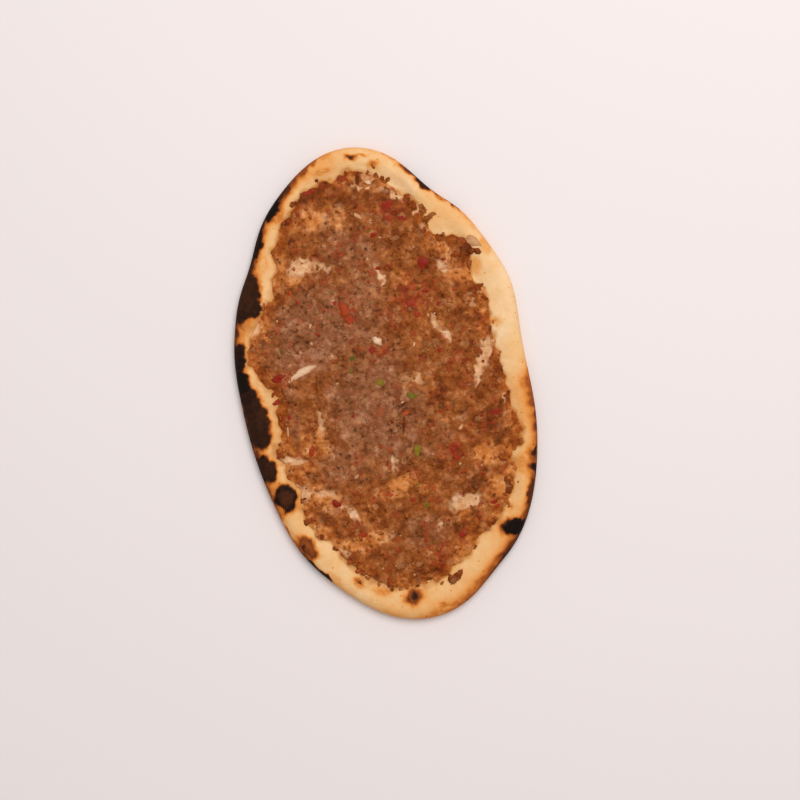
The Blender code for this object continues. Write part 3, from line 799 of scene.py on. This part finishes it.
# Onion fried in the meat's fat: cream where thick, glassy tan where thin, golden at its edges.
onion = {
    "name": "onionBits",
    "material": "cookedOnion",
    "shades": ("#B87E50", "#D4A27A", "#E8C4A4"),
    "rimShade": "#B0743E",
    "roughness": 0.5,
    "thickness": 0.5,
    "seed": 53,
    "strewn": (28, (0.5, 1.1), (0.0, 0.4)),
    "places": [
        (-33, 11.2, 7.2, 1.7, 18, 0.8, -0.03), (0.2, 18, 2.4, 1.7, -60, 1),
        (47.4, 51.2, 4.4, 1.9, -38, 0.25, -0.05), (-26, 29.2, 1.2, 0.8, 60, 0.3),
        (9, 83.4, 1.8, 1, -20, 0.7, 0.1), (-3, -32, 2.4, 0.8, 82, 0.5), (25.8, 24, 1.3, 0.7, 80, 0.7),
        (-29, -10, 3.4, 0.6, 88, 0.3, 0.02), (27.5, -24, 1.6, 0.7, 40, 0.4), (11.6, -62, 1.2, 0.9, 0, 0.6),
        (5.6, -9.2, 0.9, 0.6, 20, 0.5), (33.2, 41.2, 1.8, 0.9, -12, 0.6),
        (-43.5, -12, 2.6, 0.6, 80, 0.4, 0.02), (2, 70.5, 2.2, 1, -40, 0.3), (-19, -36, 1.6, 0.7, 30, 0.3),
        (15, 13.5, 1.2, 0.6, 70, 0.4),
    ],
}


def strewnRows(rng, count, sizes, shades):
    # more small ones at random over the meat, none within 3 mm of its edge
    rows = []
    while len(rows) < count:
        x, y = rng.uniform(-48, 48), rng.uniform(-84, 86)
        if toppingReach(math.atan2(y, x)) - math.hypot(x, y) < 3.0:
            continue
        long = rng.uniform(*sizes)
        wide = long * rng.uniform(0.5, 0.9)
        rows.append((x, y, long, wide, rng.uniform(0, 180), rng.uniform(*shades)))
    return rows


def makeBits(vegetable, rows):
    # flat chopped bits: an uneven outline, a low dome on top, the rest sunk into the meat
    rng = np.random.default_rng(vegetable["seed"])
    around, sunk, depth = 28, 0.2, 0.9
    shares = [1.0, 0.97, 0.85, 0.62, 0.32]  # rings from the rim to the middle
    theta = np.linspace(0, 2 * math.pi, around, endpoint=False)
    points, faces, shades, rims = [], [], [], []
    first = 0
    for x, y, long, wide, turn, shade, *bend in rows:
        waviness = rng.uniform(0.05, 0.18, 6) * (1.0, 0.8, 0.6, 0.3, 0.2, 0.15)
        phase = rng.uniform(0, 2 * math.pi, 6)
        outline = 1.0 + sum(waviness[k] * np.cos((k + 2) * theta + phase[k]) for k in range(6))
        along = np.append(np.outer(shares, long * outline * np.cos(theta)), 0.0)
        across = np.append(np.outer(shares, wide * outline * np.sin(theta)), 0.0) + sum(bend) * along**2
        lift = np.append(np.repeat(np.sqrt(1.0 - np.square(shares)), around), 1.0)
        angle = math.radians(turn)
        px = x + along * math.cos(angle) - across * math.sin(angle)
        py = y + along * math.sin(angle) + across * math.cos(angle)
        surface = topAt(px, py)[0]
        surface = 0.8 * surface + 0.2 * surface.mean()  # stiffer than the mince under it
        tall = vegetable["thickness"] * min(1.0, 0.5 + 0.25 * wide)
        pz = np.minimum(surface - sunk + tall * lift, bread["highest"])
        bottom = np.array([[x, y, surface.mean() - depth]])
        points.append(np.concatenate([np.stack([px, py, pz], 1), bottom]))
        rings = first + np.arange(len(shares) * around).reshape(len(shares), around)
        top = first + rings.size
        for k in range(len(shares) - 1):
            faces += bandFaces(rings[k + 1], rings[k])
        faces += fanFaces(rings[-1], top)
        faces += fanFaces(rings[0][::-1], top + 1)
        shades.append(np.full(len(points[-1]), shade + rng.uniform(-0.1, 0.1)))
        rims.append(np.append(np.repeat(shares, around), [0.0, 1.0]))
        first += len(points[-1])
    fields = {"shade": np.concatenate(shades), "rim": np.concatenate(rims)}
    return meshFrom(vegetable["name"], np.concatenate(points), faces, choppedFlesh(vegetable), fields)


def choppedFlesh(vegetable):
    # wet flesh with a thin film of fat, so smoother than the meat round it; the rim is browned
    material, tree, shader = newMaterial(vegetable["material"])
    place = addNode(tree, "TexCoord").outputs["Object"]
    shade, rim = (
        addNode(tree, "Attribute", attribute_name=name).outputs["Fac"] for name in ("shade", "rim"))
    flesh = addNode(tree, "TexNoise", {
        "Vector": place, "Scale": perMm(1.1), "Detail": 4.0}).outputs["Fac"]
    mixed = addUp(tree, -0.4, [(shade, 1.0), (flesh, 0.8)])
    dark, middle, light = vegetable["shades"]
    ramp = addNode(tree, "ValToRGB", {"Fac": mixed}, [(0.0, dark), (1.0, light), (0.5, middle)])
    browned = addUp(tree, -0.55, [(rim, 0.9), (flesh, 0.5)])
    cover = addNode(tree, "MapRange", {"Value": browned, "From Max": 0.6, "To Max": 0.75})
    mix = {0: cover.outputs[0], 6: ramp.outputs["Color"], 7: hexToLinear(vegetable["rimShade"])}
    colour = addNode(tree, "Mix", mix, data_type="RGBA").outputs[2]
    bump = addNode(tree, "Bump", {"Strength": 0.7, "Distance": 0.35 * mm, "Height": flesh}).outputs[0]
    fillInputs(tree, shader, {
        "Base Color": colour, "Normal": bump, "Roughness": vegetable["roughness"], "IOR": 1.36,
        "Specular IOR Level": 0.2})
    return material


# loose crumbs of mince, larger and darker towards the edge

crumbs = {
    "spacing": 2.35,
    "jitter": 1.1,
    "share": 0.95,  # of the places that have one
    "thinnerOn": {"bare": 0.8, "oily": 0.5},
    "strays": 0.16,  # the share just past the edge
    "radius": (0.5, 1.1),
    "edgeRadius": (0.6, 1.3),
    "stretch": (1.0, 1.45),
    "flatness": (0.35, 0.6),
    "sunk": 0.18,
    "knobSize": 0.55,
    "knobblyFrom": 1.3,
    "looksOfItsPlace": {"bare": 0.1, "oily": 0.4, "film": 0.4, "pit": 0.0},
}


def roundLump(fineness):
    bpy.ops.mesh.primitive_ico_sphere_add(subdivisions=fineness, radius=1.0)
    ball = bpy.context.object
    points = np.array([v.co[:] for v in ball.data.vertices])
    faces = np.array([p.vertices[:] for p in ball.data.polygons])
    bpy.data.objects.remove(ball)
    return points, faces


def scatteredCrumbs(rng):
    # scattered over the meat, fewer on bare and fatty places, a few past its edge
    low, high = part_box("meat_topping")
    columns, rows = (np.arange(low[k] / mm - 3, high[k] / mm + 3, crumbs["spacing"]) for k in (0, 1))
    x, y = (values.ravel() for values in np.meshgrid(columns, rows))
    x = x + rng.uniform(-1, 1, x.size) * crumbs["jitter"]
    y = y + rng.uniform(-1, 1, y.size) * crumbs["jitter"]
    _, fields, inside = topAt(x, y)
    likely = crumbs["share"]
    for kind, less in crumbs["thinnerOn"].items():
        likely = likely - less * fields[kind]
    likely = likely * (0.75 + 0.9 * waves(x, y, 6.0, 57.0))  # in clusters
    likely = likely * (0.3 + 0.7 * smoothStep(0.3, 3.0, inside + 2.0 * waves(x, y, 9.0, 58.0)))
    likely = np.where(inside < 0.5, crumbs["strays"] * np.exp((inside - 0.5) / 0.7), likely)
    for vegetable in (tomato, greenPepper, onion):  # none on the larger bits
        large = [place for place in vegetable["places"] if place[2] > 1.5]
        for _, reachHere in ovals(x, y, large, 3.0, 0.0):
            likely = likely * (reachHere > 1.15)
    keep = rng.random(x.size) < likely
    x, y, edge = x[keep], y[keep], fields["edge"][keep]
    pick = rng.random(len(x)) ** 1.6
    small, large = crumbs["radius"], crumbs["edgeRadius"]
    radius = small[0] + (small[1] - small[0]) * pick
    radius = radius + edge * rng.random(len(x)) * (large[0] + (large[1] - large[0]) * pick - radius)
    return np.stack([x, y, radius, np.full(len(x), -1.0)], 1)  # -1: like the meat under it


def makeCrumbs(material):
    # short bits of the mincer's strands: knobbly, a little bent, most of each sunk in the meat
    rng = np.random.default_rng(23)
    rows = np.concatenate([scatteredCrumbs(rng), np.array(loneCrumbs)])
    height, fields, _ = topAt(rows[:, 0], rows[:, 1])
    fields["crisp"] = np.where(rows[:, 3] < 0, fields["crisp"], rows[:, 3])
    for kind, share in crumbs["looksOfItsPlace"].items():
        fields[kind] = fields[kind] * share
    fields["grain"] = rng.random(len(rows))
    balls = {False: roundLump(2), True: roundLump(3)}
    points, faces, shadeBelow, total = [], [], [], 0
    for k, (x, y, radius, _) in enumerate(rows):
        ball, ballFaces = balls[radius > crumbs["knobblyFrom"]]
        long = rng.uniform(*crumbs["stretch"])
        shape = ball * (long, 1.0 / long, rng.uniform(*crumbs["flatness"]))
        seed = rng.uniform(0, 50)
        rough = crumbs["knobSize"] / radius
        bumps = [noise.noise((p[0] * 1.2 + seed, p[1] * 1.2, p[2])) for p in ball]
        knobs = [noise.noise((p[0] / rough, p[1] / rough, seed)) for p in ball]
        shape = shape * (radius * (1.0 + 0.55 * np.array(bumps) + 0.45 * np.array(knobs)))[:, None]
        shape[:, 1] += rng.uniform(-0.25, 0.25) * shape[:, 0] ** 2 / radius
        turn = rng.uniform(0, 2 * math.pi)
        px = x + shape[:, 0] * math.cos(turn) - shape[:, 1] * math.sin(turn)
        py = y + shape[:, 0] * math.sin(turn) + shape[:, 1] * math.cos(turn)
        pz = height[k] - crumbs["sunk"] * radius + shape[:, 2]
        points.append(np.stack([px, py, np.minimum(pz, bread["highest"])], 1))
        faces.append(ballFaces + total)
        total += len(ball)
        # painted shade: each crumb's underside is darkened, standing in for the shade beneath it
        shadeBelow.append(np.clip(-ball[:, 2] - 0.1, 0, 0.4))  # darker below
    sizes = [len(each) for each in points]
    fields = {key: np.repeat(values, sizes) for key, values in fields.items()}
    fields["gap"] = np.concatenate(shadeBelow)
    return meshFrom("minceCrumbs", np.concatenate(points), np.concatenate(faces).tolist(), material, fields)


crumbPiece = makeCrumbs(minceMaterial)
print("crumbs made", len(crumbPiece.data.polygons), "faces")

strewRng = np.random.default_rng(41)
tomatoPiece, greenPiece, onionPiece = (
    makeBits(vegetable, vegetable["places"] + strewnRows(strewRng, *vegetable["strewn"]))
    for vegetable in (tomato, greenPepper, onion)
)
print("bits made", sum(len(p.data.polygons) for p in (tomatoPiece, greenPiece, onionPiece)), "faces")


# stage: floor, light, camera

stage = {
    "floorColour": "#E9DEDB",
    "floorWidth": 4000.0,
    "lensMm": 85.0,
    "sensorMm": 36.0,
    "widthShown": 333.3,
    "topHeight": 6.0,  # the width is taken at this height
    "cameraTurn": -11.0,  # so that the long side leans as it lies
    "aim": (4.8, -8.1),
    "keyPlace": (300.0, 420.0, 1050.0),
    "keySize": 900.0,
    "keyPower": 9.5,
    "skyStrength": 0.52,
}


bpy.ops.mesh.primitive_plane_add(size=stage["floorWidth"] * mm, location=(0, 0, 0))
floor = bpy.context.object
floor.name = "floor"
boardMaterial, _, board = newMaterial("paintedBoard")  # matt household paint, slightly warm
board.inputs["Base Color"].default_value = hexToLinear(stage["floorColour"])
board.inputs["Roughness"].default_value = 0.8
floor.data.materials.append(boardMaterial)

light = bpy.data.lights.new("key", "AREA")
light.shape = "DISK"
light.size = stage["keySize"] * mm
light.energy = stage["keyPower"]
key = bpy.data.objects.new("key", light)
key.location = [c * mm for c in stage["keyPlace"]]
key.rotation_euler = (-key.location).to_track_quat("-Z", "Y").to_euler()
bpy.context.collection.objects.link(key)

scene = bpy.context.scene
scene.world = bpy.data.worlds.new("softRoom")
scene.world.use_nodes = True
sky = scene.world.node_tree.nodes["Background"]
sky.inputs["Strength"].default_value = stage["skyStrength"]
sky.inputs["Color"].default_value = (1.0, 1.0, 1.0, 1.0)

lens = bpy.data.cameras.new("camera")
lens.lens = stage["lensMm"]
lens.sensor_width = stage["sensorMm"]
lens.clip_start = 0.01
camera = bpy.data.objects.new("camera", lens)
cameraHeight = stage["widthShown"] * stage["lensMm"] / stage["sensorMm"] + stage["topHeight"]
camera.location = (stage["aim"][0] * mm, stage["aim"][1] * mm, cameraHeight * mm)
camera.rotation_euler = (0.0, 0.0, math.radians(stage["cameraTurn"]))
bpy.context.collection.objects.link(camera)
bpy.context.scene.camera = camera
scene.view_settings.view_transform = "Standard"
scene.view_settings.look = "None"
print("stage set")

for piece in (breadPiece, mincePiece, crumbPiece, tomatoPiece, greenPiece, onionPiece):
    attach(piece, "root")
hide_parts("flatbread")
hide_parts("meat_topping")
